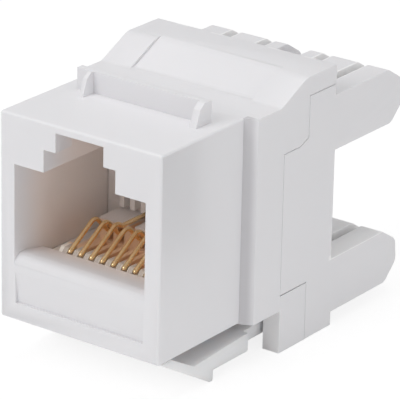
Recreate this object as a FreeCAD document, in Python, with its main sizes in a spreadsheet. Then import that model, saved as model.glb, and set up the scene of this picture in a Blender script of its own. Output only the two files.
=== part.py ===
"""Keystone jack with an eight-way plug socket, sprung contacts and two rows of wire slots.

The pieces are drawn from the jack's front face (y = 0), its middle (x = 0) and the underside of
its front box (z = 0). Every piece is then set down by the same Placement, so that the finished
jack stands on z = 0 with its middle over the origin: width along X, depth along +Y from the
socket to the wire slots, height along +Z. All sizes are in millimetres.
"""
import FreeCAD, Part
import Sketcher
import math
import os
import re

from FreeCAD import Vector

doc = FreeCAD.newDocument("KeystoneJack")

# ---------------------------------------------------------------- driving sizes
CONTACTS = 8
LIFTED = (3, 6)                       # the split pair runs to the board above the other wires
SLOTS = ("-outer_slot", "-inner_slot", "inner_slot", "outer_slot")

SIZES = {
    # overlaps that keep joined and cut shapes clean
    "root_depth": 0.4,
    "overshoot": 1.0,
    # running and seating clearances
    "fit_gap": 0.05,
    "seam_gap": 0.06,
    "pocket_gap": 0.08,
    "board_gap": 0.2,
    "tail_gap": 0.3,
    # front box
    "front_width": 14.8,
    "front_height": 16.35,
    "front_depth": 9.9,
    "edge_radius": 0.2,
    # rear shell, ramp and roof
    "rear_width": 16.8,
    "shell_wall": 1.0,
    "step_wall": 2.2,
    "shoulder_slant": 0.45,
    "rear_step": 3.9,
    "ramp_run": 3.2,
    "ramp_radius": 1.0,
    "roof_radius": 1.8,
    "strip_width": 2.75,
    "strip_lead": 0.55,
    "roof_rise": 1.55,
    "roof_run": 3.35,
    "roof_wall": 1.5,
    "wall_run": 3.1,
    "chamber_floor": 1.1,
    "chamber_cover": 0.95,
    # side notch that takes the rear block's lug
    "lug_lift": 0.1,
    "lug_drop": 2.75,
    "notch_bevel": 1.1,
    "notch_rise": 0.45,
    # legs
    "foot_drop": 3.5,
    "leg_thickness": 1.5,
    "front_leg": 3.35,
    "rear_leg": 3.55,
    # plug socket
    "socket_side": 1.35,
    "socket_cover": 3.9,
    "sill_height": 5.3,
    "sill_depth": 1.3,
    "sill_radius": 0.9,
    "slope_end": 3.2,
    "slope_foot": 4.9,
    "slope_land": 0.1,
    "seat_floor": 2.2,
    "catch_width": 6.6,
    "catch_rise": 1.78,
    "catch_ledge": 1.9,
    "catch_depth": 8.0,
    "tab_width": 4.4,
    "tab_rise": 1.54,
    # label recess
    "recess_side": 1.45,
    "recess_bottom": 1.4,
    "recess_height": 2.55,
    "recess_depth": 0.25,
    "recess_ease": 0.4,
    # snap rib
    "rib_side": 1.35,
    "rib_inset": 1.5,
    "rib_rear": 7.75,
    "rib_rise": 1.7,
    "rib_plate": 0.6,
    "left_gusset": 0.35,
    "right_gusset": 0.6,
    "gusset_inset": 1.2,
    "gusset_top": 0.9,
    "gusset_middle": 1.4,
    "gusset_drop": 0.4,
    "gusset_foot": 1.9,
    # release latch
    "latch_front": 0.3,
    "latch_hinge": 1.6,
    "latch_elbow": 4.4,
    "elbow_drop": 1.5,
    "arm_reach": 1.3,
    "arm_top_drop": 1.15,
    "arm_drop": 2.65,
    "tooth_front": 6.4,
    "tooth_land": 0.4,
    "tooth_radius": 0.2,
    "tail_reach": 0.8,
    "tail_top_drop": 1.4,
    "tail_drop": 2.4,
    # contact carrier
    "base_top": 4.35,
    "comb_length": 1.4,
    "comb_rise": 0.85,
    "comb_bevel": 0.35,
    "groove_width": 0.6,
    "groove_depth": 0.9,
    "shelf_rise": 1.75,
    "shelf_skin": 0.4,
    "channel_rise": 1.2,
    "carrier_wall": 0.9,
    "tooth_depth": 0.8,
    "tooth_width": 0.46,
    "tooth_lift": 0.25,
    # contact wires
    "contact_pitch": 1.016,
    "wire_size": 0.44,
    "run_rise": 1.0,
    "lift_rise": 1.15,
    "peak_rise": 1.57,
    "tip_drop": 0.25,
    "tip_gap": 0.45,
    "tip_run": 2.7,
    "drop_run": 1.55,
    "lift_run": 0.7,
    "shelf_gap": 0.3,
    "window_gap": 0.18,
    "peak_radius": 0.7,
    "run_radius": 0.4,
    # circuit board
    "board_thickness": 1.55,
    "tail_hole": 0.76,
    "pin_hole": 0.9,
    "pin_edge": 1.0,
    # rear block
    "roof_lip": 0.15,
    "finger_step": 0.9,
    "finger_height": 4.5,
    "finger_reach": 9.2,
    "row_spacing": 13.4,
    "nose_flat": 2.15,
    "nose_step": 0.2,
    "nose_back": 1.55,
    "nose_fall": 1.2,
    "nose_low": 3.05,
    "nose_radius": 0.9,
    "slot_width": 0.85,
    "slot_web": 0.95,
    "side_finger": 1.975,
    "inner_finger": 1.195,
    "middle_gap": 2.2,
    "mouth_depth": 1.4,
    "mouth_flare": 0.25,
    # terminals
    "terminal_width": 2.0,
    "terminal_sheet": 0.5,
    "terminal_cover": 0.5,
    "pin_width": 0.5,
    "jog_start": 0.55,
    "jog_run": 1.7,
    "jog_ease": 0.13,
    "fork_gap": 0.3,
    "fork_slot": 0.3,
    "fork_mouth": 0.9,
    "fork_bevel": 0.7,
}

# Places and sizes that follow from the driving ones, so that mating pieces move together.
PLACES = {
    # depths, counted back from the front face
    "chamber_front": "front_depth + step_wall",
    "board_front": "chamber_front + fit_gap",
    "notch_front": "board_front + board_thickness + fit_gap",
    "ramp_foot": "front_depth + rear_step",
    "ramp_head": "ramp_foot + ramp_run",
    "wall_end": "ramp_foot + wall_run",
    "roof_end": "ramp_head + roof_run",
    "leg_split": "ramp_foot + front_leg",
    "leg_rear": "leg_split + rear_leg",
    "block_rear": "roof_end + roof_lip",
    "slot_root": "block_rear + slot_web",
    "nose_end": "block_rear + finger_reach",
    "finger_flat": "nose_end - nose_flat",
    "terminal_tip": "finger_flat - terminal_cover",
    "arm_end": "front_depth + arm_reach",
    "tail_end": "ramp_foot + tail_reach",
    "floor_end": "slope_end + slope_land",
    "carrier_front": "floor_end + fit_gap",
    "carrier_back": "chamber_front - fit_gap",
    "back_wall": "carrier_back - carrier_wall",
    "tip_depth": "floor_end + tip_gap",
    "peak_depth": "tip_depth + tip_run",
    "drop_depth": "peak_depth + drop_run",
    "lift_depth": "peak_depth + lift_run",
    "shelf_front": "drop_depth + shelf_gap",
    # heights above the front box's underside
    "roof_height": "front_height + roof_rise",
    "roof_under": "roof_height - roof_wall",
    "chamber_roof": "front_height - chamber_cover",
    "notch_bottom": "chamber_floor + lug_lift",
    "notch_top": "chamber_roof - lug_drop",
    "socket_top": "front_height - socket_cover",
    "catch_top": "socket_top + catch_rise",
    "tab_top": "catch_top + tab_rise",
    "shelf_top": "base_top + shelf_rise",
    "comb_top": "base_top + comb_rise",
    "low_run": "base_top + run_rise",
    "high_run": "low_run + lift_rise",
    "peak_height": "low_run + peak_rise",
    "tip_height": "low_run - tip_drop",
    "board_bottom": "chamber_floor + board_gap",
    "board_top": "chamber_roof - board_gap",
    "low_pin": "board_bottom + pin_edge",
    "finger_top": "roof_under - finger_step",
    "finger_bottom": "finger_top - finger_height",
    "finger_middle": "finger_top - finger_height / 2",
    # widths and places across
    "socket_width": "front_width - 2 * socket_side",
    "chamber_width": "rear_width - 2 * shell_wall",
    "board_width": "chamber_width - 2 * board_gap",
    "comb_width": f"{CONTACTS + 1} * contact_pitch",
    "outer_slot": "rear_width / 2 - side_finger - slot_width / 2",
    "inner_slot": "middle_gap / 2 + inner_finger + slot_width / 2",
}

sheet = doc.addObject("Spreadsheet::Sheet", "Sizes")
for row, (alias, value) in enumerate(SIZES.items(), 1):
    sheet.set(f"A{row}", alias.replace("_", " "))
    sheet.set(f"B{row}", str(value))
    sheet.setAlias(f"B{row}", alias)
doc.recompute()

def bound(text):
    """Spell out the places in an expression, and point each driving size at its cell."""
    def spell(match):
        name = match[0]
        if name in PLACES:
            return "(" + bound(PLACES[name]) + ")"
        return "Sizes." + name if name in SIZES else name
    return re.sub(r"[a-z_]+", spell, text)


def size(text):
    """Return the number that an expression of sizes stands for now."""
    return float(sheet.evalExpression(bound(text)))


# ---------------------------------------------------------------- sketches and features
def new_body(label):
    """Start a piece, set down on the bench with its middle over the origin."""
    body = doc.addObject("PartDesign::Body", label)
    body.Label = label
    body.setExpression(".Placement.Base.y", bound("-nose_end / 2"))
    body.setExpression(".Placement.Base.z", bound("foot_drop"))
    return body


def new_sketch(body, name, plane, offset="0"):
    """Start a sketch on one of the piece's origin planes, moved along the plane's normal.

    YZ_Plane draws (y, z) and faces +X; XY_Plane draws (x, y) and faces +Z; XZ_Plane draws
    (x, z) and faces -Y, so its offset is the depth from the front face with the sign changed.
    """
    sketch = body.newObject("Sketcher::SketchObject", name)
    origin_plane = next(f for f in body.Origin.OriginFeatures if f.Role == plane)
    sketch.AttachmentSupport = [(origin_plane, "")]
    sketch.MapMode = "FlatFace"
    sketch.setExpression(".AttachmentOffset.Base.z", bound(offset))
    return sketch


def pin_down(sketch, geometry, point, corner):
    """Hold a point of the sketch at the two expressions of a corner."""
    for kind, text in zip(("DistanceX", "DistanceY"), corner):
        rule = sketch.addConstraint(
            Sketcher.Constraint(kind, -1, 1, geometry, point, size(text)))
        sketch.setExpression(f"Constraints[{rule}]", bound(text))


def draw_outline(sketch, corners):
    """Draw a closed outline through corners, each a pair of expressions."""
    spots = [Vector(size(a), size(b), 0) for a, b in corners]
    first = sketch.GeometryCount
    for start, end in zip(spots, spots[1:] + spots[:1]):
        sketch.addGeometry(Part.LineSegment(start, end))
    for number, corner in enumerate(corners):
        following = first + (number + 1) % len(corners)
        sketch.addConstraint(
            Sketcher.Constraint("Coincident", first + number, 2, following, 1))
        pin_down(sketch, first + number, 1, corner)


def draw_box(sketch, left, right, low, high):
    """Draw a rectangle between four expressions."""
    draw_outline(sketch, [(left, low), (right, low), (right, high), (left, high)])


def draw_circle(sketch, centre, diameter):
    """Draw a circle whose centre and diameter are expressions."""
    middle = Vector(size(centre[0]), size(centre[1]), 0)
    ring = sketch.addGeometry(Part.Circle(middle, Vector(0, 0, 1), size(diameter) / 2))
    pin_down(sketch, ring, 3, centre)
    rule = sketch.addConstraint(Sketcher.Constraint("Diameter", ring, size(diameter)))
    sketch.setExpression(f"Constraints[{rule}]", bound(diameter))


def draw_octagon(sketch, centre, across):
    """Draw an eight-sided section, its flats the given size apart, that stands for a round."""
    reach = 0.5 / math.cos(math.pi / 8)
    corners = []
    for step in range(8):
        turn = (step + 0.5) * math.pi / 4
        corners.append(tuple(f"{middle} + {reach * part(turn):.4f} * {across}"
                             for middle, part in zip(centre, (math.cos, math.sin))))
    draw_outline(sketch, corners)


def draw_bent_line(sketch, corners, radii):
    """Draw an open line through corners, each inner corner rounded by a tangent arc.

    Each straight passes through the corners at its two ends, which are kept as points, and the
    arc between two straights is tangent to both.
    """
    spots = [Vector(size(a), size(b), 0) for a, b in corners]
    anchors = []
    for spot, corner in zip(spots, corners):
        anchor = sketch.addGeometry(Part.Point(spot), True)
        pin_down(sketch, anchor, 1, corner)
        anchors.append(anchor)
    bends = []
    for before, spot, after, radius in zip(spots, spots[1:], spots[2:], radii):
        back = (before - spot).normalize()
        ahead = (after - spot).normalize()
        half_angle = back.getAngle(ahead) / 2
        reach = size(radius) / math.tan(half_angle)
        crown = (back + ahead).normalize() * (size(radius) / math.sin(half_angle) - size(radius))
        bends.append((spot + back * reach, spot + crown, spot + ahead * reach))
    starts = [spots[0]] + [bend[2] for bend in bends]
    ends = [bend[0] for bend in bends] + [spots[-1]]
    lines = [sketch.addGeometry(Part.LineSegment(a, b)) for a, b in zip(starts, ends)]
    arcs = [sketch.addGeometry(Part.Arc(*bend)) for bend in bends]
    for number, (arc, bend) in enumerate(zip(arcs, bends)):
        start = sketch.getPoint(arc, 1)
        near, far = (1, 2) if start.distanceToPoint(bend[0]) < start.distanceToPoint(bend[2]) else (2, 1)
        sketch.addConstraint(Sketcher.Constraint("Tangent", lines[number], 2, arc, near))
        sketch.addConstraint(Sketcher.Constraint("Tangent", lines[number + 1], 1, arc, far))
        rule = sketch.addConstraint(Sketcher.Constraint("Radius", arc, size(radii[number])))
        sketch.setExpression(f"Constraints[{rule}]", bound(radii[number]))
        anchor = anchors[number + 1]
        sketch.addConstraint(Sketcher.Constraint("PointOnObject", anchor, 1, lines[number]))
        sketch.addConstraint(Sketcher.Constraint("PointOnObject", anchor, 1, lines[number + 1]))
    for line, point, anchor in ((lines[0], 1, anchors[0]), (lines[-1], 2, anchors[-1])):
        sketch.addConstraint(Sketcher.Constraint("Coincident", line, point, anchor, 1))


def add_pad(body, sketch, length, both_ways=False):
    """Raise a sketch along its plane's normal, or half the length to each side of it."""
    pad = body.newObject("PartDesign::Pad", sketch.Name + "_pad")
    pad.Profile = sketch
    pad.SideType = "Symmetric" if both_ways else "One side"
    pad.setExpression("Length", bound(length))
    return pad


def cut_pocket(body, sketch, length, both_ways=False, forward=False):
    """Cut a sketch against its plane's normal, along it, or half the length to each side."""
    pocket = body.newObject("PartDesign::Pocket", sketch.Name + "_pocket")
    pocket.Profile = sketch
    pocket.SideType = "Symmetric" if both_ways else "One side"
    pocket.Reversed = forward
    pocket.setExpression("Length", bound(length))
    return pocket


def round_edges(body, name, radius, is_wanted):
    """Fillet each straight edge of the piece so far that is_wanted(start, end) picks."""
    doc.recompute()
    base = body.Tip
    picked = []
    for number, edge in enumerate(base.Shape.Edges, 1):
        if len(edge.Vertexes) == 2 and edge.Curve.TypeId == "Part::GeomLine":
            if is_wanted(edge.Vertexes[0].Point, edge.Vertexes[1].Point):
                picked.append(f"Edge{number}")
    fillet = body.newObject("PartDesign::Fillet", name)
    fillet.Base = (base, picked)
    fillet.setExpression("Radius", bound(radius))
    return fillet


def near(value, text):
    """Tell whether a coordinate lies at an expression of sizes."""
    return abs(value - size(text)) < 1e-4


def runs_across(start, end, depth, height):
    """Tell whether an edge runs along X at the given depth and height."""
    return (near(start.y, depth) and near(end.y, depth)
            and near(start.z, height) and near(end.z, height))


# ---------------------------------------------------------------- front housing
def make_front_housing():
    """Shell with the socket in front, the chamber behind, the roof, the rib and two legs."""
    body = new_body("front_housing")

    side = new_sketch(body, "shell_side", "YZ_Plane")
    draw_outline(side, [
        ("0", "0"), ("leg_split", "0"), ("leg_split", "notch_bottom"),
        ("notch_front", "notch_bottom"), ("notch_front", "notch_top"),
        ("wall_end - notch_bevel", "notch_top"), ("wall_end", "notch_top + notch_rise"),
        ("wall_end", "roof_under"), ("roof_end", "roof_under"), ("roof_end", "roof_height"),
        ("ramp_head", "roof_height"), ("ramp_foot", "front_height"), ("0", "front_height")])
    add_pad(body, side, "rear_width", both_ways=True)

    shoulders = new_sketch(body, "shoulders", "XY_Plane", "-overshoot")
    for side_sign in ("", "-"):
        draw_outline(shoulders, [
            (f"{side_sign}front_width / 2", "-overshoot"),
            (f"{side_sign}front_width / 2", "front_depth"),
            (f"{side_sign}rear_width / 2", "front_depth + shoulder_slant"),
            (f"{side_sign}(rear_width / 2 + overshoot)", "front_depth + shoulder_slant"),
            (f"{side_sign}(rear_width / 2 + overshoot)", "-overshoot")])
    cut_pocket(body, shoulders, "roof_height + 2 * overshoot", forward=True)
    round_edges(body, "roof_round", "roof_radius", lambda a, b: (
        runs_across(a, b, "ramp_head", "roof_height")))
    round_edges(body, "ramp_round", "ramp_radius", lambda a, b: (
        runs_across(a, b, "ramp_foot", "front_height")))
    round_edges(body, "front_rounds", "edge_radius", lambda a, b: (
        near(a.y, "0") and near(b.y, "0")
        or min(a.y, b.y) < size("front_depth / 2") and abs(a.x - b.x) < 1e-4
        and abs(a.z - b.z) < 1e-4 and near(abs(a.x), "front_width / 2")))

    for side_name, start in (("left", "-rear_width / 2"), ("right", "rear_width / 2 - strip_width")):
        strip = new_sketch(body, f"{side_name}_strip", "YZ_Plane", start)
        draw_outline(strip, [
            ("ramp_foot - strip_lead", "front_height"),
            ("ramp_head - strip_lead", "roof_height"),
            ("ramp_head + strip_lead", "roof_height"),
            ("ramp_head + strip_lead", "roof_height - root_depth"),
            ("ramp_foot - strip_lead", "front_height - root_depth")])
        add_pad(body, strip, "strip_width")
    round_edges(body, "strip_roof_rounds", "roof_radius", lambda a, b: (
        runs_across(a, b, "ramp_head - strip_lead", "roof_height")))
    round_edges(body, "strip_foot_rounds", "ramp_radius", lambda a, b: (
        runs_across(a, b, "ramp_foot - strip_lead", "front_height")))

    socket = new_sketch(body, "socket_side", "YZ_Plane")
    draw_outline(socket, [
        ("-overshoot", "sill_height"), ("sill_depth", "sill_height"), ("slope_end", "slope_foot"),
        ("floor_end", "slope_foot"), ("floor_end", "seat_floor"),
        ("chamber_front", "seat_floor"), ("chamber_front", "socket_top"),
        ("-overshoot", "socket_top")])
    cut_pocket(body, socket, "socket_width", both_ways=True)
    catch = new_sketch(body, "catch_step", "XZ_Plane")
    draw_box(catch, "-catch_width / 2", "catch_width / 2", "socket_top - overshoot", "catch_top")
    cut_pocket(body, catch, "catch_depth")
    tab = new_sketch(body, "tab_step", "XZ_Plane")
    draw_box(tab, "-tab_width / 2", "tab_width / 2", "socket_top - overshoot", "tab_top")
    cut_pocket(body, tab, "catch_depth")
    spring_room = new_sketch(body, "spring_room", "XZ_Plane", "-catch_ledge")
    draw_box(spring_room, "-catch_width / 2", "catch_width / 2", "socket_top - overshoot", "tab_top")
    cut_pocket(body, spring_room, "catch_depth - catch_ledge")
    round_edges(body, "sill_round", "sill_radius", lambda a, b: (
        runs_across(a, b, "0", "sill_height")))

    chamber = new_sketch(body, "chamber_side", "YZ_Plane")
    draw_outline(chamber, [
        ("chamber_front", "chamber_floor"), ("leg_split + overshoot", "chamber_floor"),
        ("leg_split + overshoot", "chamber_roof"), ("chamber_front", "chamber_roof")])
    cut_pocket(body, chamber, "chamber_width", both_ways=True)

    recess = new_sketch(body, "label_recess", "YZ_Plane")
    recess_top = "recess_bottom + recess_height"
    draw_outline(recess, [
        ("-overshoot", "recess_bottom"), ("recess_depth", "recess_bottom"),
        ("recess_depth", f"{recess_top} - recess_ease"), ("0", recess_top),
        ("-overshoot", recess_top)])
    cut_pocket(body, recess, "front_width - 2 * recess_side", both_ways=True)

    rib = new_sketch(body, "rib_bar", "YZ_Plane", "rib_inset - front_width / 2")
    draw_box(rib, "rib_rear - rib_plate", "rib_rear", "front_height - root_depth",
             "front_height + rib_rise")
    add_pad(body, rib, "front_width - rib_inset - rib_side")
    for side_name, start, thickness in (
            ("left", "rib_inset + gusset_inset - front_width / 2", "left_gusset"),
            ("right", "front_width / 2 - rib_side - right_gusset", "right_gusset")):
        gusset = new_sketch(body, f"{side_name}_gusset_side", "YZ_Plane", start)
        draw_outline(gusset, [
            ("rib_rear", "front_height - root_depth"), ("rib_rear", "front_height + rib_rise"),
            ("rib_rear - gusset_top", "front_height + rib_rise"),
            ("rib_rear - gusset_middle", "front_height + rib_rise - gusset_drop"),
            ("rib_rear - gusset_foot", "front_height"),
            ("rib_rear - gusset_foot", "front_height - root_depth")])
        add_pad(body, gusset, thickness)

    legs = new_sketch(body, "leg_plan", "XY_Plane", "-foot_drop")
    for side_sign in ("", "-"):
        draw_box(legs, f"{side_sign}(rear_width / 2 - leg_thickness)",
                 f"{side_sign}rear_width / 2", "ramp_foot", "leg_split")
    add_pad(body, legs, "foot_drop + root_depth")
    return body


# ---------------------------------------------------------------- release latch
def make_release_latch():
    """Springy arm under the front box: thin root, catch tooth, arm and narrower finger tail."""
    body = new_body("release_latch")
    arm = new_sketch(body, "latch_side", "YZ_Plane")
    draw_outline(arm, [
        ("latch_front", "0"), ("tooth_front", "-foot_drop"), ("tooth_front + tooth_land", "-foot_drop"),
        ("tooth_front + tooth_land", "-arm_drop"), ("arm_end", "-arm_drop"), ("arm_end", "-arm_top_drop"),
        ("latch_elbow", "-elbow_drop"), ("latch_hinge", "0")])
    add_pad(body, arm, "front_width", both_ways=True)
    tail = new_sketch(body, "tail_side", "YZ_Plane")
    draw_box(tail, "arm_end - root_depth", "tail_end", "-tail_drop", "-tail_top_drop")
    add_pad(body, tail, "rear_width - 2 * leg_thickness - 2 * tail_gap", both_ways=True)
    round_edges(body, "tooth_rounds", "tooth_radius", lambda a, b: (
        runs_across(a, b, "tooth_front", "-foot_drop")
        or runs_across(a, b, "tooth_front + tooth_land", "-foot_drop")
        or runs_across(a, b, "arm_end", "-arm_drop")
        or runs_across(a, b, "tail_end", "-tail_drop")
        or runs_across(a, b, "tail_end", "-tail_top_drop")))
    return body


# ---------------------------------------------------------------- contact carrier
def contact_place(number):
    """Return the expression for a contact's place across the jack, counted from the left."""
    return f"{number - (CONTACTS + 1) / 2} * contact_pitch"


def run_height(number):
    """Return the size that gives the height of a contact's straight run to the board."""
    return "high_run" if number in LIFTED else "low_run"


def make_contact_carrier():
    """Insert on the socket floor: front comb, grooves, shelf with tunnels, and back comb."""
    body = new_body("contact_carrier")
    full_width = "socket_width - 2 * fit_gap"
    low = "seat_floor + fit_gap"

    base = new_sketch(body, "base_side", "YZ_Plane")
    draw_box(base, "carrier_front", "carrier_back", low, "base_top")
    add_pad(body, base, full_width, both_ways=True)
    comb = new_sketch(body, "comb_side", "YZ_Plane")
    draw_outline(comb, [
        ("carrier_front", "base_top - root_depth"), ("carrier_front", "comb_top - comb_bevel"),
        ("carrier_front + comb_bevel", "comb_top"), ("floor_end + comb_length", "comb_top"),
        ("floor_end + comb_length", "base_top - root_depth")])
    add_pad(body, comb, "comb_width", both_ways=True)
    shelf = new_sketch(body, "shelf_side", "YZ_Plane")
    draw_box(shelf, "shelf_front", "carrier_back", "base_top - root_depth", "shelf_top")
    add_pad(body, shelf, "comb_width", both_ways=True)
    wall = new_sketch(body, "wall_side", "YZ_Plane")
    draw_box(wall, "back_wall", "carrier_back", "base_top - root_depth", "socket_top - fit_gap")
    add_pad(body, wall, full_width, both_ways=True)

    teeth = new_sketch(body, "back_teeth", "XY_Plane", "shelf_top + tooth_lift")
    for number in range(CONTACTS + 1):
        middle = contact_place(number + 0.5)
        draw_box(teeth, f"{middle} - tooth_width / 2", f"{middle} + tooth_width / 2",
                 "back_wall - tooth_depth", "back_wall + root_depth")
    add_pad(body, teeth, "socket_top - fit_gap - shelf_top - tooth_lift")

    grooves = new_sketch(body, "grooves", "XY_Plane", "comb_top + overshoot")
    windows = new_sketch(body, "windows", "XZ_Plane", "-chamber_front")
    for number in range(1, CONTACTS + 1):
        middle = contact_place(number)
        left = f"{middle} - groove_width / 2"
        right = f"{middle} + groove_width / 2"
        draw_box(grooves, left, right, "floor_end - overshoot", "shelf_front")
        if number in LIFTED:
            draw_box(windows, left, right, "base_top + channel_rise",
                     "high_run + wire_size / 2 + window_gap")
        else:
            draw_box(windows, left, right, "base_top", "shelf_top - shelf_skin")
    cut_pocket(body, grooves, "comb_rise + overshoot + groove_depth")
    cut_pocket(body, windows, "chamber_front - shelf_front + overshoot", forward=True)
    return body


# ---------------------------------------------------------------- contact wires
def make_contact(number):
    """Sprung wire: tail in the board, run under or over the shelf, bent peak, sloping tip."""
    body = new_body(f"contact_{number}")
    run = run_height(number)
    run_start = "lift_depth" if number in LIFTED else "drop_depth"
    path = new_sketch(body, f"wire_path_{number}", "YZ_Plane", contact_place(number))
    draw_bent_line(path, [
        ("board_front + board_thickness", run), (run_start, run),
        ("peak_depth", "peak_height"), ("tip_depth", "tip_height")],
        ["run_radius", "peak_radius"])
    section = new_sketch(body, f"wire_section_{number}", "XZ_Plane",
                         "-(board_front + board_thickness)")
    draw_octagon(section, (contact_place(number), run), "wire_size")
    wire = body.newObject("PartDesign::AdditivePipe", f"wire_{number}")
    wire.Profile = section
    wire.Spine = (path, [])
    return body


# ---------------------------------------------------------------- terminals
def terminal_side(row, start, end, grow="0"):
    """Return the side outline of a terminal strip, grown all round, from start to end.

    The upper row is straight. The lower row's strip steps up from its fingers to its pin,
    because the board ends above the middle of the lower fingers.
    """
    half = f"(terminal_sheet / 2 + {grow})"
    if row == "upper":
        middle = "finger_middle"
        return [(start, f"{middle} - {half}"), (end, f"{middle} - {half}"),
                (end, f"{middle} + {half}"), (start, f"{middle} + {half}")]
    middle = "(finger_middle - row_spacing)"
    ease = f"(jog_ease + {grow})"
    jog = "(leg_split + jog_start)"
    return [(start, f"low_pin - {half}"), (f"{jog} - {ease}", f"low_pin - {half}"),
            (f"{jog} + jog_run - {ease}", f"{middle} - {half}"), (end, f"{middle} - {half}"),
            (end, f"{middle} + {half}"), (f"{jog} + jog_run + {ease}", f"{middle} + {half}"),
            (f"{jog} + {ease}", f"low_pin + {half}"), (start, f"low_pin + {half}")]


def make_terminal(number, row, place):
    """Fork that cuts into a wire: square pin in the board, shoulders, blade and two tines."""
    body = new_body(f"terminal_{number}")
    strip = new_sketch(body, f"strip_{number}", "YZ_Plane", place)
    draw_outline(strip, terminal_side(row, "board_front", "terminal_tip"))
    add_pad(body, strip, "terminal_width", both_ways=True)

    plan = new_sketch(body, f"plan_{number}", "XY_Plane", "-row_spacing")
    shoulder = "board_front + board_thickness"
    for side_sign in ("-", "+"):
        draw_box(plan, f"{place} {side_sign} pin_width / 2", f"{place} {side_sign} terminal_width",
                 "board_front - overshoot", shoulder)
    draw_outline(plan, [
        (f"{place} - fork_slot / 2", "slot_root + fork_gap"),
        (f"{place} + fork_slot / 2", "slot_root + fork_gap"),
        (f"{place} + fork_slot / 2", "terminal_tip - fork_bevel"),
        (f"{place} + fork_mouth / 2", "terminal_tip"),
        (f"{place} + fork_mouth / 2", "terminal_tip + overshoot"),
        (f"{place} - fork_mouth / 2", "terminal_tip + overshoot"),
        (f"{place} - fork_mouth / 2", "terminal_tip"),
        (f"{place} - fork_slot / 2", "terminal_tip - fork_bevel")])
    cut_pocket(body, plan, "row_spacing + finger_top", forward=True)
    return body


# ---------------------------------------------------------------- circuit board
def make_circuit_board():
    """Upright board with a hole for each contact's tail and each terminal's pin."""
    body = new_body("circuit_board")
    board = new_sketch(body, "board_face", "XZ_Plane", "-(board_front + board_thickness)")
    draw_box(board, "-board_width / 2", "board_width / 2", "board_bottom", "board_top")
    for number in range(1, CONTACTS + 1):
        draw_circle(board, (contact_place(number), run_height(number)), "tail_hole")
    for place in SLOTS:
        draw_circle(board, (place, "finger_middle"), "pin_hole")
        draw_circle(board, (place, "low_pin"), "pin_hole")
    add_pad(body, board, "board_thickness")
    return body


# ---------------------------------------------------------------- rear block
def make_rear_block():
    """Termination block: two rows of fingers, side lugs, a tongue in the chamber, two legs."""
    body = new_body("rear_block")
    front = "notch_front + seam_gap"
    low = "notch_bottom + seam_gap"
    split = "leg_split + seam_gap"

    side = new_sketch(body, "block_side", "YZ_Plane")
    noses = []
    for drop in ("0", "row_spacing"):
        top = f"finger_top - {drop}"
        noses += [("finger_flat", top), ("nose_end - nose_step", f"{top} - nose_fall"),
                  ("nose_end", f"{top} - nose_low"),
                  ("nose_end - nose_back", f"finger_bottom - {drop}"),
                  ("block_rear", f"finger_bottom - {drop}")]
        if drop == "0":
            noses.append(("block_rear", "finger_top - row_spacing"))
    draw_outline(side, [
        (front, low), (front, "notch_top - seam_gap"),
        ("wall_end - notch_bevel", "notch_top - seam_gap"),
        ("wall_end + seam_gap", "notch_top + notch_rise - seam_gap"),
        ("wall_end + seam_gap", "roof_under - seam_gap"),
        ("roof_end", "roof_under - seam_gap"), ("roof_end", "finger_top")]
        + noses[:-1] + [(split, "finger_bottom - row_spacing"), (split, low)])
    add_pad(body, side, "rear_width", both_ways=True)
    round_edges(body, "nose_rounds", "nose_radius", lambda a, b: (
        near(a.y, "nose_end - nose_step") and near(b.y, "nose_end - nose_step")
        or near(a.y, "nose_end") and near(b.y, "nose_end")
        or near(a.y, "nose_end - nose_back") and near(b.y, "nose_end - nose_back")
        or near(a.y, "finger_flat") and near(b.y, "finger_flat")))

    tongue = new_sketch(body, "tongue_side", "YZ_Plane")
    draw_box(tongue, front, "wall_end + overshoot", "notch_top - overshoot", "chamber_roof - fit_gap")
    add_pad(body, tongue, "chamber_width - 2 * fit_gap", both_ways=True)
    legs = new_sketch(body, "block_legs", "XY_Plane", "-foot_drop")
    for side_sign in ("", "-"):
        draw_box(legs, f"{side_sign}(rear_width / 2 - leg_thickness)",
                 f"{side_sign}rear_width / 2", split, "leg_rear")
    add_pad(body, legs, "foot_drop + finger_top - row_spacing")

    slots = new_sketch(body, "wire_slots", "XY_Plane", "-foot_drop - overshoot")
    for place in SLOTS:
        half = "slot_width / 2"
        draw_outline(slots, [
            (f"{place} - {half}", "slot_root"), (f"{place} + {half}", "slot_root"),
            (f"{place} + {half}", "nose_end - mouth_depth"),
            (f"{place} + {half} + mouth_flare", "nose_end"),
            (f"{place} + {half} + mouth_flare", "nose_end + overshoot"),
            (f"{place} - {half} - mouth_flare", "nose_end + overshoot"),
            (f"{place} - {half} - mouth_flare", "nose_end"),
            (f"{place} - {half}", "nose_end - mouth_depth")])
    draw_box(slots, "-middle_gap / 2", "middle_gap / 2", "block_rear", "nose_end + overshoot")
    cut_pocket(body, slots, "foot_drop + finger_top + 2 * overshoot", forward=True)

    for number, place in enumerate(SLOTS, 1):
        for row in ("upper", "lower"):
            pocket = new_sketch(body, f"{row}_pocket_{number}", "YZ_Plane", place)
            draw_outline(pocket, terminal_side(
                row, "notch_front", "terminal_tip + pocket_gap", "pocket_gap"))
            cut_pocket(body, pocket, "terminal_width + 2 * pocket_gap", both_ways=True)
    return body


# ---------------------------------------------------------------- build, check and write
pieces = [make_front_housing(), make_release_latch(), make_contact_carrier()]
pieces += [make_contact(number) for number in range(1, CONTACTS + 1)]
pieces.append(make_circuit_board())
for number, (row, place) in enumerate([(r, p) for r in ("upper", "lower") for p in SLOTS], 1):
    pieces.append(make_terminal(number, row, place))
pieces.append(make_rear_block())
doc.recompute()

for item in doc.Objects:
    if "Invalid" in item.State or "Error" in item.State:
        raise RuntimeError(f"{item.Label} did not compute: {item.State}")
for piece in pieces:
    if piece.Shape.isNull() or not piece.Shape.isValid():
        raise RuntimeError(f"{piece.Label} has no valid shape")
    if len(piece.Shape.Solids) != 1:
        raise RuntimeError(f"{piece.Label} is {len(piece.Shape.Solids)} solids, not one")

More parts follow.
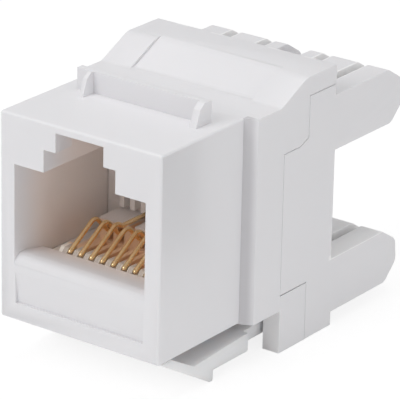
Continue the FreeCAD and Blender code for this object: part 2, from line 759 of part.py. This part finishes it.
os.makedirs("parts", exist_ok=True)
for piece in pieces:
    piece.Shape.exportStep(f"parts/{piece.Label}.step")
    box = piece.Shape.BoundBox
    print(f"{piece.Label}: volume {piece.Shape.Volume:.2f} mm3, "
          f"x {box.XMin:.2f}..{box.XMax:.2f}, y {box.YMin:.2f}..{box.YMax:.2f}, "
          f"z {box.ZMin:.2f}..{box.ZMax:.2f}")
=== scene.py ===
import math

import bmesh
import bpy
import numpy as np
from mathutils import Matrix, Vector
from mathutils.bvhtree import BVHTree


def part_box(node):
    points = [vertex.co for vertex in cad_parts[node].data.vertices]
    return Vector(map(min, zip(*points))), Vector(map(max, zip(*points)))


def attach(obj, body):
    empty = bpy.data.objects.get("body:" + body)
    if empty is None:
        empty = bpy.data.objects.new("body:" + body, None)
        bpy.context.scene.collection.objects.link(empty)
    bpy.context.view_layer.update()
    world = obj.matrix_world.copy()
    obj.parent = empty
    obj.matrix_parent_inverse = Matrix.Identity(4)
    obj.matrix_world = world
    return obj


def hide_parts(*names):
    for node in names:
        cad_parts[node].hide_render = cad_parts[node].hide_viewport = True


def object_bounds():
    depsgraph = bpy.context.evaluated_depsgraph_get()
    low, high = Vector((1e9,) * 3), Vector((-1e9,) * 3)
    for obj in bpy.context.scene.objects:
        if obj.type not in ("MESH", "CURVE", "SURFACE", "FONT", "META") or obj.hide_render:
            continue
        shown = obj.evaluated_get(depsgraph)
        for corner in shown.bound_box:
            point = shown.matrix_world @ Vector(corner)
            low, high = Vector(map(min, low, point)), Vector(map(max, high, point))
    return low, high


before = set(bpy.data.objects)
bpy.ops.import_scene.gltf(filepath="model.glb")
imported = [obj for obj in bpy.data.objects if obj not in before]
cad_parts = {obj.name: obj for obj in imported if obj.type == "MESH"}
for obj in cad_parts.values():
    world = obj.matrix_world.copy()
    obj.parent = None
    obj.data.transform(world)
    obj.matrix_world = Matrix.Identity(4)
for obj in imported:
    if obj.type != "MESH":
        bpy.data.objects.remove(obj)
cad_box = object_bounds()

# ---------------------------------------------------------------- white mouldings
# The front housing, its latch and the rear block are injection moulded in one white plastic.
# The moulds leave every outer edge slightly round and the skin satin, with a very fine grain.
# The housing and the block snap together along the seams on their sides.

MM = 0.001
FRONT = cad_box[0][1]

# Facets that meet at less than this angle are merged, and corners this near are one corner.
FLAT = math.radians(0.5)
SAME_CORNER = 0.0005 * MM

# Edges sharper than this are rounded. Those that close a seam, with the neighbour's surface
# this near all along them, keep only this share of the rounding.
SHARP = math.radians(20)
SEAM_GAP = 0.03 * MM
SEAM_SHARE = 0.06

# The label recess: its depth, the height of its top corners, the height they drop to, and how
# near a corner lies to be one of them.
RECESS_DEPTH = 0.25 * MM
RECESS_TOP = 7.05 * MM
RECESS_SLOPE = 5.4 * MM
RECESS_REACH = 0.02 * MM

# Boxes of painted light and painted shade on the plastic, in millimetres: "out" from the jack's
# middle, "back" from its front face and "up" from the ground. Each box starts to fade in at the
# first number, is full from the second to the third, and has gone at the fourth.
SOCKET_PAINTED_LIGHT = {"out": (None, None, 6.05, 6.4), "back": (0.2, 4, 12, 14),
                 "up": (5.4, 5.8, 19.25, 19.6)}
SOCKET_LIGHT_DEPTH = {"back": (4, 9, None, None)}
SHELL_STEP_SHADE = {"out": (7.3, 7.4, 7.8, 8.5), "back": (9.85, 9.9, 10.4, 10.5),
              "up": (3.5, 3.55, None, None)}
LEG_FRONT_LIGHT = {"back": (13.7, 13.75, 13.82, 13.86), "up": (None, None, 3.5, 3.55)}
FINGERS = {"back": (20, 20.5, None, None)}
LOWER_FINGER_TOP_LIGHT = {"up": (5.5, 5.56, 5.8, 6)}

# How far the wire slots lie from the jack's middle, two on each side of it, and how far from a
# slot's own middle the painted light on its walls starts and is full.
WIRE_SLOTS = [abs(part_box(f"terminal_{number}")[0][0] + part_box(f"terminal_{number}")[1][0]) / 2
              for number in (1, 2)]
SLOT_WALL_LIGHT = (0.62 * MM, 0.48 * MM)

# Painted light: lifts the shaded slot walls, lower finger tops and leg fronts.
PAINTED_LIGHT_TONE = (0.97, 0.965, 0.97, 1)
# Painted shade: darkens the step behind the front box, where the front box casts its shadow.
STEP_PAINTED_SHADE = (0.62, 0.61, 0.63, 1)
# Painted bounce light and painted reflected gold light: lighter and warmer deep in the socket.
SOCKET_LIGHT_TONES = ((0.95, 0.86, 0.82, 1), (0.99, 0.91, 0.87, 1))


def material(name):
    """Return a new node material, its node tree and its Principled shader."""
    made = bpy.data.materials.new(name)
    made.use_nodes = True
    return made, made.node_tree, made.node_tree.nodes["Principled BSDF"]


def set_inputs(tree, node, inputs):
    """Set a node's inputs, by name or number, to numbers and colours, or link them to sockets."""
    for key, value in inputs.items():
        if isinstance(value, bpy.types.NodeSocket):
            tree.links.new(value, node.inputs[key])
        else:
            node.inputs[key].default_value = value


def add_node(tree, kind, inputs=None, **settings):
    """Add a shader node, with its settings and its inputs."""
    node = tree.nodes.new(kind)
    for key, value in settings.items():
        setattr(node, key, value)
    set_inputs(tree, node, inputs or {})
    return node


def arithmetic(tree, operation, *values):
    """Return what an operation, such as MULTIPLY, makes of sockets and numbers."""
    return add_node(tree, "ShaderNodeMath", dict(enumerate(values)),
                    operation=operation).outputs[0]


def distance(tree, first, second):
    """Return how far apart two values are."""
    return arithmetic(tree, "ABSOLUTE", arithmetic(tree, "SUBTRACT", first, second))


def object_point(tree):
    """Return the socket that gives a surface point in the object's own metres."""
    return add_node(tree, "ShaderNodeTexCoord").outputs["Object"]


def across_back_up(tree):
    """Return the three sockets of a surface point: across the jack, back along it and up."""
    return add_node(tree, "ShaderNodeSeparateXYZ", {0: object_point(tree)}).outputs


def noise(tree, scale, detail=2.0):
    """Return a noise over the object, with scale in cycles a metre."""
    return add_node(tree, "ShaderNodeTexNoise",
                    {"Vector": object_point(tree), "Scale": scale, "Detail": detail}).outputs["Fac"]


def smooth_step(tree, value, low, high):
    """Return a smooth step of a value, 0 at low and 1 at high."""
    return add_node(tree, "ShaderNodeMapRange",
                    {"Value": value, "From Min": low, "From Max": high},
                    interpolation_type="SMOOTHSTEP").outputs["Result"]


def zone(tree, box, start=FRONT):
    """Return 1 inside a box and 0 outside it: the product of a smooth step at each side.

    The box's depths are counted back from start.
    """
    across, back, up = across_back_up(tree)
    axes = {"out": (arithmetic(tree, "ABSOLUTE", across), 0), "back": (back, start),
            "up": (up, 0)}
    inside = 1.0
    for way, (fade_in, full, wane, gone) in box.items():
        value, origin = axes[way]
        for outer, inner in ((fade_in, full), (gone, wane)):
            if outer is not None:
                side = smooth_step(tree, value, origin + outer * MM, origin + inner * MM)
                inside = arithmetic(tree, "MULTIPLY", inside, side)
    return inside


def mix_colours(tree, factor, first, second):
    """Return a mix of two colours, all three of them sockets or plain values."""
    return add_node(tree, "ShaderNodeMix", {"Factor": factor, 6: first, 7: second},
                    data_type="RGBA").outputs[2]


def vary_roughness(tree, scale, detail, low, high):
    """Return a roughness that drifts between low and high with a noise."""
    return add_node(tree, "ShaderNodeMapRange",
                    {"Value": noise(tree, scale, detail), "To Min": low,
                     "To Max": high}).outputs["Result"]


def relief(tree, height, strength, depth=0.01 * MM):
    """Return the normal of a skin that a height raises by up to depth metres."""
    return add_node(tree, "ShaderNodeBump", {"Height": height, "Strength": strength,
                                             "Distance": depth}).outputs["Normal"]


def white_plastic(name, tones, glow, reach):
    """Satin white plastic: it drifts between two tones, and deep in the socket it has painted
    bounce light and painted reflected gold light, lighter and warmer.

    The walls of the wire slots, the tops of the lower fingers and the fronts of the legs have
    painted light, a lighter tone than the rest where they lie in shade, and the step behind the
    front box has painted shade, a darker one. The slots' painted light also falls, in line with
    them, on the block's rear wall and on the roof's rear edge.
    The light that sinks in is the share glow, and comes out again up to reach metres away.
    """
    made, tree, shader = material(name)
    out = arithmetic(tree, "ABSOLUTE", across_back_up(tree)[0])
    # Painted light on the slot walls, lower finger tops and leg fronts, where they lie in shade.
    slot_walls = [smooth_step(tree, distance(tree, out, slot), *SLOT_WALL_LIGHT) for slot in WIRE_SLOTS]
    painted_light = arithmetic(tree, "MAXIMUM", *slot_walls)
    painted_light = arithmetic(tree, "MAXIMUM", painted_light, zone(tree, LOWER_FINGER_TOP_LIGHT))
    painted_light = arithmetic(tree, "MULTIPLY", painted_light, zone(tree, FINGERS))
    painted_light = arithmetic(tree, "MAXIMUM", painted_light, zone(tree, LEG_FRONT_LIGHT))
    skin = mix_colours(tree, noise(tree, 120), *tones)
    skin = mix_colours(tree, painted_light, skin, PAINTED_LIGHT_TONE)
    # Painted shade on the step behind the front box.
    skin = mix_colours(tree, zone(tree, SHELL_STEP_SHADE), skin, STEP_PAINTED_SHADE)
    # Painted bounce light and reflected gold light deep in the socket.
    socket_light = mix_colours(tree, zone(tree, SOCKET_LIGHT_DEPTH), *SOCKET_LIGHT_TONES)
    set_inputs(tree, shader, {
        "Base Color": mix_colours(tree, zone(tree, SOCKET_PAINTED_LIGHT), skin, socket_light),
        "IOR": 1.5,
        "Subsurface Weight": glow,
        "Subsurface Radius": (1.0, 0.9, 0.85),
        "Subsurface Scale": reach,
        "Roughness": vary_roughness(tree, 900, 3, 0.36, 0.50),
        "Normal": relief(tree, noise(tree, 9000, 3), 0.10)})
    return made


def ease_housing(shape):
    """Let the back of the label recess rise to the sill in one long slope."""
    for corner in shape.verts:
        at = corner.co
        if (abs(at.z - RECESS_TOP) < RECESS_REACH
                and abs(at.y - FRONT - RECESS_DEPTH) < RECESS_REACH):
            at.z = RECESS_SLOPE


def add_object(name, data):
    """Return a new object in the scene, at the origin, that holds a mesh, lamp or camera."""
    made = bpy.data.objects.new(name, data)
    bpy.context.scene.collection.objects.link(made)
    return made


def rounded_copy(node, name, edge, surface, fits=None, reshape=None):
    """Return a copy of a CAD node, its facets merged, with every sharp edge rounded.

    The radius of the rounding is edge, in metres, and each rounding has three steps. An edge
    that lies on the node that the piece fits closes a seam, and is kept much sharper.
    """
    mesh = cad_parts[node].data.copy()
    mesh.name = name
    shape = bmesh.new()
    shape.from_mesh(mesh)
    bmesh.ops.remove_doubles(shape, verts=shape.verts, dist=SAME_CORNER)
    bmesh.ops.dissolve_limit(shape, angle_limit=FLAT, verts=shape.verts, edges=shape.edges)
    if reshape:
        reshape(shape)
    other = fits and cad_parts[fits].data
    neighbour = other and BVHTree.FromPolygons([v.co for v in other.vertices],
                                               [f.vertices for f in other.polygons])
    share = shape.edges.layers.float.new("bevel_weight_edge")
    for line in shape.edges:
        if len(line.link_faces) == 2 and line.calc_face_angle() > SHARP:
            start, end = (v.co for v in line.verts)
            seam = neighbour and all(neighbour.find_nearest(place, SEAM_GAP)[0]
                                     for place in (start, end, (start + end) / 2))
            line[share] = SEAM_SHARE if seam else 1
    shape.to_mesh(mesh)
    shape.free()
    mesh.materials.clear()
    mesh.materials.append(surface)
    for face in mesh.polygons:
        face.use_smooth = True
    piece = add_object(name, mesh)
    bevel = piece.modifiers.new("edges", "BEVEL")
    bevel.width = edge
    bevel.segments = 3
    bevel.limit_method = "WEIGHT"
    bevel.harden_normals = True
    bevel.use_clamp_overlap = True
    return piece


thick_plastic = white_plastic("white_plastic", ((0.795, 0.788, 0.808, 1),
                                                (0.812, 0.806, 0.824, 1)), 0.15, 0.6 * MM)
# The latch is the housing's plastic, its tones set lighter: painted light that lifts it in the
# front box's shade. Its glow and reach are light passing through the thin plastic.
thin_plastic_painted_light = white_plastic("thin_white_plastic_painted_light", ((0.92, 0.90, 0.91, 1),
                                                    (0.94, 0.925, 0.935, 1)), 0.8, 1.6 * MM)
MOULDINGS = (("front_housing", "jack", 0.14 * MM, thick_plastic, "rear_block", ease_housing),
             ("release_latch", "latch", 0.12 * MM, thin_plastic_painted_light, None, None),
             ("rear_block", "jack", 0.14 * MM, thick_plastic, "front_housing", None))
for node, body, edge, plastic, fits, reshape in MOULDINGS:
    moulding = rounded_copy(node, node + "_shell", edge, plastic, fits, reshape)
    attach(moulding, body)
    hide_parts(node)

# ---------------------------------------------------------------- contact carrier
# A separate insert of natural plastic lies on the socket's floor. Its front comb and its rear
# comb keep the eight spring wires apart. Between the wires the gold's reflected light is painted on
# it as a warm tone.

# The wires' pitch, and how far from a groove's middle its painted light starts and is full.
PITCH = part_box("contact_2")[0][0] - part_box("contact_1")[0][0]
GROOVE = (0.36 * MM, 0.31 * MM)

# The rear comb stands above the shelf, and the depth of the wall that carries it is counted
# from the carrier's back.
CARRIER_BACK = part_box("contact_carrier")[1][1]
REAR_COMB = {"up": (9.65, 9.8, None, None)}
REAR_WALL = {"back": (-0.93, -0.88, None, None)}

# The depths of these two are counted from the tips of the wires.
WIRE_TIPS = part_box("contact_1")[0][1]
FRONT_COMB = {"back": (None, None, 1.2, 1.8)}
GOLD_REFLECTION_ZONE = {"out": (None, None, 4.8, 5.3), "back": (0.5, 1.2, 5.5, 7),
               "up": (None, None, 9.3, 9.55)}

NATURAL_TONES = ((0.80, 0.74, 0.71, 1), (0.84, 0.785, 0.76, 1))
# Painted light on the upright rear comb and its wall, which stand in shade.
UPRIGHT_PAINTED_LIGHT = (0.99, 0.93, 0.90, 1)
# Painted shade on the front comb's teeth, and painted light in its grooves.
TOOTH_SHADE_AND_GROOVE_LIGHT = ((0.60, 0.52, 0.45, 1), (1.0, 0.92, 0.82, 1))
# Painted reflection: the gold wires' light, as a warm tone between them.
GOLD_REFLECTION_TONE = (1.0, 0.68, 0.45, 1)


def carrier_plastic():
    """Natural plastic: painted reflected gold light under the wires, and painted light on the
    upright rear comb.

    A groove lies half a pitch from each whole pitch. On the front comb the grooves have painted
    light, lighter than the teeth beside them, which have painted shade.
    """
    made, tree, shader = material("carrier_plastic")
    plain = mix_colours(tree, noise(tree, 300), *NATURAL_TONES)
    # Painted light on the upright rear comb and its wall.
    upright = arithmetic(tree, "MAXIMUM", zone(tree, REAR_COMB),
                         zone(tree, REAR_WALL, CARRIER_BACK))
    plain = mix_colours(tree, upright, plain, UPRIGHT_PAINTED_LIGHT)
    pitches = arithmetic(tree, "DIVIDE", across_back_up(tree)[0], PITCH)
    beside = distance(tree, arithmetic(tree, "FRACT", pitches), 0.5)
    groove = smooth_step(tree, arithmetic(tree, "MULTIPLY", beside, PITCH), *GROOVE)
    # Painted shade on the teeth, painted light in the grooves.
    comb = mix_colours(tree, groove, *TOOTH_SHADE_AND_GROOVE_LIGHT)
    plain = mix_colours(tree, zone(tree, FRONT_COMB, WIRE_TIPS), plain, comb)
    # Painted reflected gold light between the wires.
    set_inputs(tree, shader, {
        "Base Color": mix_colours(tree, zone(tree, GOLD_REFLECTION_ZONE, WIRE_TIPS), plain, GOLD_REFLECTION_TONE),
        "Roughness": 0.45,
        "Subsurface Weight": 0.1,
        "Subsurface Radius": (1.0, 0.85, 0.7),
        "Subsurface Scale": 0.4 * MM,
        "Normal": relief(tree, noise(tree, 7000, 3), 0.12)})
    return made


carrier = rounded_copy("contact_carrier", "contact_carrier_insert", 0.05 * MM, carrier_plastic())
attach(carrier, "jack")
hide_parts("contact_carrier")

# ---------------------------------------------------------------- contact wires
# Eight round spring wires, gold plated, are bent over a form and soldered into the board.
# Each runs forward, rises to a peak that meets the plug, and slopes down into its groove.
# Wires 3 and 6 leave the board higher than the rest.

WIRE = 0.36 * MM
WIRE_SIDES = 24
TIP_RINGS = 5
LIFTED = (3, 6)

# Where a wire's level run ends: the place along the jack and the height above the ground.
RUN = (FRONT + 8.0 * MM, 8.85 * MM)
LIFTED_RUN = (FRONT + 7.15 * MM, 10.0 * MM)

# The peak's place along the jack and height, how far the tip lies before its CAD node and how
# high, and the radii of the bends at the run's end and at the peak.
PEAK = (FRONT + 6.45 * MM, 10.42 * MM)
TIP_AHEAD = 0.30 * MM
TIP_HEIGHT = 8.46 * MM
BENDS = (0.4 * MM, 0.7 * MM)
BEND_STEP = math.radians(6)


def rounded_line(corners, radii, step):
    """Return points along an open line in a plane, its inner corners rounded by arcs.

    An arc of radius r that turns by an angle a starts r * tan(a / 2) before its corner, and its
    points lie at even angles about the centre that both straights share.
    """
    points = [corners[0]]
    for before, corner, after, radius in zip(corners, corners[1:], corners[2:], radii):
        back = (before - corner) / np.linalg.norm(before - corner)
        ahead = (after - corner) / np.linalg.norm(after - corner)
        half = math.acos(np.clip(back @ ahead, -1, 1)) / 2
        centre = corner + (back + ahead) / np.linalg.norm(back + ahead) * radius / math.sin(half)
        start = corner + back * radius / math.tan(half) - centre
        end = corner + ahead * radius / math.tan(half) - centre
        turn = math.pi - 2 * half
        share = np.linspace(0, 1, max(4, int(turn / step)))[:, None]
        points.extend(centre + (start * np.sin((1 - share) * turn) + end * np.sin(share * turn))
                      / math.sin(turn))
    points.append(corners[-1])
    return np.array(points)


def swept_wire(name, line, thickness, sides, tip, surface):
    """Return a round wire along a line of (y, z) points at x = 0, its far end a half ball.

    Each ring of the grid is a circle in the plane across the line's direction. Along the last
    stretch the rings shrink as a quarter circle does, which closes the wire in a round tip.
    """
    heading = np.gradient(line, axis=0)
    heading /= np.linalg.norm(heading, axis=1)[:, None]
    steps = np.sin(np.linspace(0, math.pi / 2, tip + 1))[1:]
    cap = line[-1] + heading[-1] * (steps[:, None] - 1) * thickness / 2
    keep = np.linalg.norm(line - line[-1], axis=1) > thickness / 2
    centres = np.vstack([line[keep], line[-1] - heading[-1] * thickness / 2, cap])
    headings = np.vstack([heading[keep], np.repeat(heading[-1:], tip + 1, axis=0)])
    radius = np.full(len(centres), thickness / 2)
    # The last ring keeps a fiftieth of the radius, so that its points stay apart.
    radius[-tip:] = thickness / 2 * np.sqrt(np.clip(1 - steps ** 2, 0.02 ** 2, 1))
    angle = np.linspace(0, 2 * math.pi, sides, endpoint=False)
    side = np.stack([-headings[:, 1], headings[:, 0]], axis=1)
    x = radius[:, None] * np.cos(angle)[None, :]
    yz = (centres[:, None, :] + radius[:, None, None] * np.sin(angle)[None, :, None]
          * side[:, None, :])
    points = np.concatenate([x[..., None], yz], axis=2).reshape(-1, 3)
    rings, around = len(centres), np.arange(sides)
    first = (np.arange(rings - 1) * sides)[:, None]
    after = (around + 1) % sides
    quads = np.stack([first + around, first + after, first + sides + after,
                      first + sides + around], axis=2).reshape(-1, 4)
    ends = [list(range(sides))[::-1], list(range((rings - 1) * sides, rings * sides))]
    mesh = bpy.data.meshes.new(name)
    mesh.from_pydata(points.tolist(), [], quads.tolist() + ends)
    shape = bmesh.new()
    shape.from_mesh(mesh)
    bmesh.ops.recalc_face_normals(shape, faces=shape.faces)
    shape.to_mesh(mesh)
    shape.free()
    for face in mesh.polygons:
        face.use_smooth = len(face.vertices) == 4
    mesh.materials.append(surface)
    return add_object(name, mesh)


def gold_plate():
    """Gold plate over bronze: bright, slightly uneven, with fine drawing marks."""
    made, tree, shader = material("gold_plate")
    set_inputs(tree, shader, {
        "Base Color": mix_colours(tree, noise(tree, 700, 3), (0.92, 0.62, 0.30, 1),
                                  (1.0, 0.80, 0.48, 1)),
        "Metallic": 1.0,
        "Roughness": vary_roughness(tree, 2500, 2, 0.16, 0.34),
        "Normal": relief(tree, noise(tree, 5000, 2), 0.15)})
    return made


gold = gold_plate()
for number in range(1, 9):
    low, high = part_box(f"contact_{number}")
    end, height = LIFTED_RUN if number in LIFTED else RUN
    corners = np.array([(high[1], height), (end, height), PEAK, (low[1] - TIP_AHEAD, TIP_HEIGHT)])
    line = rounded_line(corners, BENDS, BEND_STEP)
    wire = swept_wire(f"contact_wire_{number}", line, WIRE, WIRE_SIDES, TIP_RINGS, gold)
    wire.data.transform(Matrix.Translation(((low[0] + high[0]) / 2, 0, 0)))
    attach(wire, f"spring_{number}")
    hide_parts(f"contact_{number}")

# ---------------------------------------------------------------- circuit board
# The board stands upright behind the carrier and joins each spring wire to its terminal.
# It is green glass laminate with a faint weave under its lacquer.


def board_laminate():
    """Green lacquer over woven glass: two crossed waves give the weave its squares."""
    made, tree, shader = material("board_laminate")
    warp, weft = (add_node(tree, "ShaderNodeTexWave",
                           {"Vector": object_point(tree), "Scale": 900.0, "Distortion": 0.6},
                           bands_direction=way).outputs["Fac"] for way in "XZ")
    weave = arithmetic(tree, "MULTIPLY", warp, weft)
    set_inputs(tree, shader, {
        "Base Color": mix_colours(tree, weave, (0.05, 0.22, 0.11, 1), (0.09, 0.31, 0.17, 1)),
        "Roughness": 0.3,
        "Normal": relief(tree, weave, 0.2, 0.02 * MM)})
    return made


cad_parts["circuit_board"].data.materials.clear()
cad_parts["circuit_board"].data.materials.append(board_laminate())

# ---------------------------------------------------------------- terminals
# Eight forks stamped from tinned bronze sheet are pressed into the board from behind. Each
# fork's two tines cut through a conductor's insulation between the block's fingers.


def tin_plate():
    """Bright tin over bronze sheet, a little cloudy, with rolling lines along the strip."""
    made, tree, shader = material("tin_plate")
    stretched = add_node(tree, "ShaderNodeMapping",
                         {"Vector": object_point(tree), "Scale": (6000.0, 300.0, 6000.0)})
    lines = add_node(tree, "ShaderNodeTexNoise",
                     {"Vector": stretched.outputs["Vector"], "Scale": 1.0, "Detail": 2.0})
    set_inputs(tree, shader, {
        "Base Color": mix_colours(tree, noise(tree, 500, 3), (0.66, 0.65, 0.62, 1),
                                  (0.80, 0.79, 0.77, 1)),
        "Metallic": 1.0,
        "Roughness": vary_roughness(tree, 1500, 2, 0.25, 0.42),
        "Normal": relief(tree, lines.outputs["Fac"], 0.15)})
    return made


tin = tin_plate()
for number in range(1, 9):
    fork = rounded_copy(f"terminal_{number}", f"terminal_fork_{number}", 0.04 * MM, tin)
    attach(fork, "jack")
    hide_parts(f"terminal_{number}")

# ---------------------------------------------------------------- floor and background
# A plain white sheet lies under the jack and the same white is all round it. The sheet keeps
# the jack's own shadow, and is seen plain white where no shadow falls.


def seen_by(tree, *rays):
    """Return 1 for the rays named, such as Is Camera Ray, and 0 for any other ray."""
    path = add_node(tree, "ShaderNodeLightPath").outputs
    seen = path[rays[0]]
    for ray in rays[1:]:
        seen = arithmetic(tree, "MAXIMUM", seen, path[ray])
    return seen


def floor_sheet(side):
    """White floor: diffuse to the lamps, and lifted to plain white where it is looked at."""
    mesh = bpy.data.meshes.new("floor")
    half = side / 2
    mesh.from_pydata([(-half, -half, 0), (half, -half, 0), (half, half, 0), (-half, half, 0)],
                     [], [(0, 1, 2, 3)])
    made, tree, _ = material("floor_white")
    tree.nodes.clear()
    sheet = add_node(tree, "ShaderNodeBsdfDiffuse", {"Color": (0.95, 0.95, 0.95, 1)})
    lift = add_node(tree, "ShaderNodeEmission", {"Color": (1, 1, 1, 1), "Strength": 0.83})
    faint = add_node(tree, "ShaderNodeBsdfDiffuse", {"Color": (0.22, 0.22, 0.22, 1)})
    white = add_node(tree, "ShaderNodeAddShader", {0: lift.outputs[0], 1: faint.outputs[0]})
    seen = seen_by(tree, "Is Camera Ray", "Is Glossy Ray", "Is Transmission Ray")
    mixed = add_node(tree, "ShaderNodeMixShader", {0: seen, 1: sheet.outputs[0],
                                                   2: white.outputs[0]})
    add_node(tree, "ShaderNodeOutputMaterial", {0: mixed.outputs[0]})
    mesh.materials.append(made)
    return add_object("floor", mesh)


floor_sheet(1.2)

world = bpy.data.worlds.new("studio")
bpy.context.scene.world = world
world.use_nodes = True
sky = world.node_tree
sky.nodes.clear()
dome = add_node(sky, "ShaderNodeBackground", {"Color": (1, 1, 1, 1), "Strength": 0.46})
backdrop = add_node(sky, "ShaderNodeBackground", {"Color": (1, 1, 1, 1), "Strength": 1.0})
both = add_node(sky, "ShaderNodeMixShader", {
    0: seen_by(sky, "Is Camera Ray", "Is Transmission Ray"), 1: dome.outputs[0],
    2: backdrop.outputs[0]})
add_node(sky, "ShaderNodeOutputWorld", {0: both.outputs[0]})

# ---------------------------------------------------------------- lamps
# Three large soft boxes light the jack: the main one in front on the left, one overhead and a
# weaker one on the right. All are of one size and point at the jack's middle.

BOX_SIDE = 0.22
BOX_AIM = Vector((0, 0, 0.01))


def soft_box(name, place, power):
    """Add a square area lamp at place that points at the jack."""
    lamp = bpy.data.lights.new(name, "AREA")
    lamp.size = BOX_SIDE
    lamp.energy = power
    box = add_object(name, lamp)
    box.location = place
    box.rotation_euler = (BOX_AIM - Vector(place)).to_track_quat("-Z", "Y").to_euler()


soft_box("main_light", (-0.08, -0.26, 0.24), 0.38)
soft_box("top_light", (0.0, 0.0, 0.40), 0.46)
soft_box("side_light", (0.35, -0.04, 0.09), 0.17)

# ---------------------------------------------------------------- camera
# The camera stands a long way off on the right and looks down at the socket's corner. It is
# turned a little about its own line of sight.

AZIMUTH, ELEVATION, ROLL = (math.radians(angle) for angle in (36.126, 21.765, 1.192))
DISTANCE = 0.245591
TARGET = np.array([3.527 * MM, FRONT + 10 * MM, 12.45 * MM])
LENS = 298.006
SENSOR = 36

away = np.array([math.sin(AZIMUTH) * math.cos(ELEVATION), -math.cos(AZIMUTH) * math.cos(ELEVATION),
                 math.sin(ELEVATION)])
right = np.array([math.cos(AZIMUTH), math.sin(AZIMUTH), 0])
up = np.cross(away, right)
stand = np.eye(4)
stand[:3, 0] = right * math.cos(ROLL) + up * math.sin(ROLL)
stand[:3, 1] = up * math.cos(ROLL) - right * math.sin(ROLL)
stand[:3, 2] = away
stand[:3, 3] = TARGET + away * DISTANCE
lens = bpy.data.cameras.new("camera")
lens.lens = LENS
lens.sensor_width = SENSOR
lens.clip_start = 0.01
lens.clip_end = 10
camera = add_object("camera", lens)
camera.matrix_world = Matrix(stand.tolist())
bpy.context.scene.camera = camera
bpy.context.scene.view_settings.view_transform = "Standard"
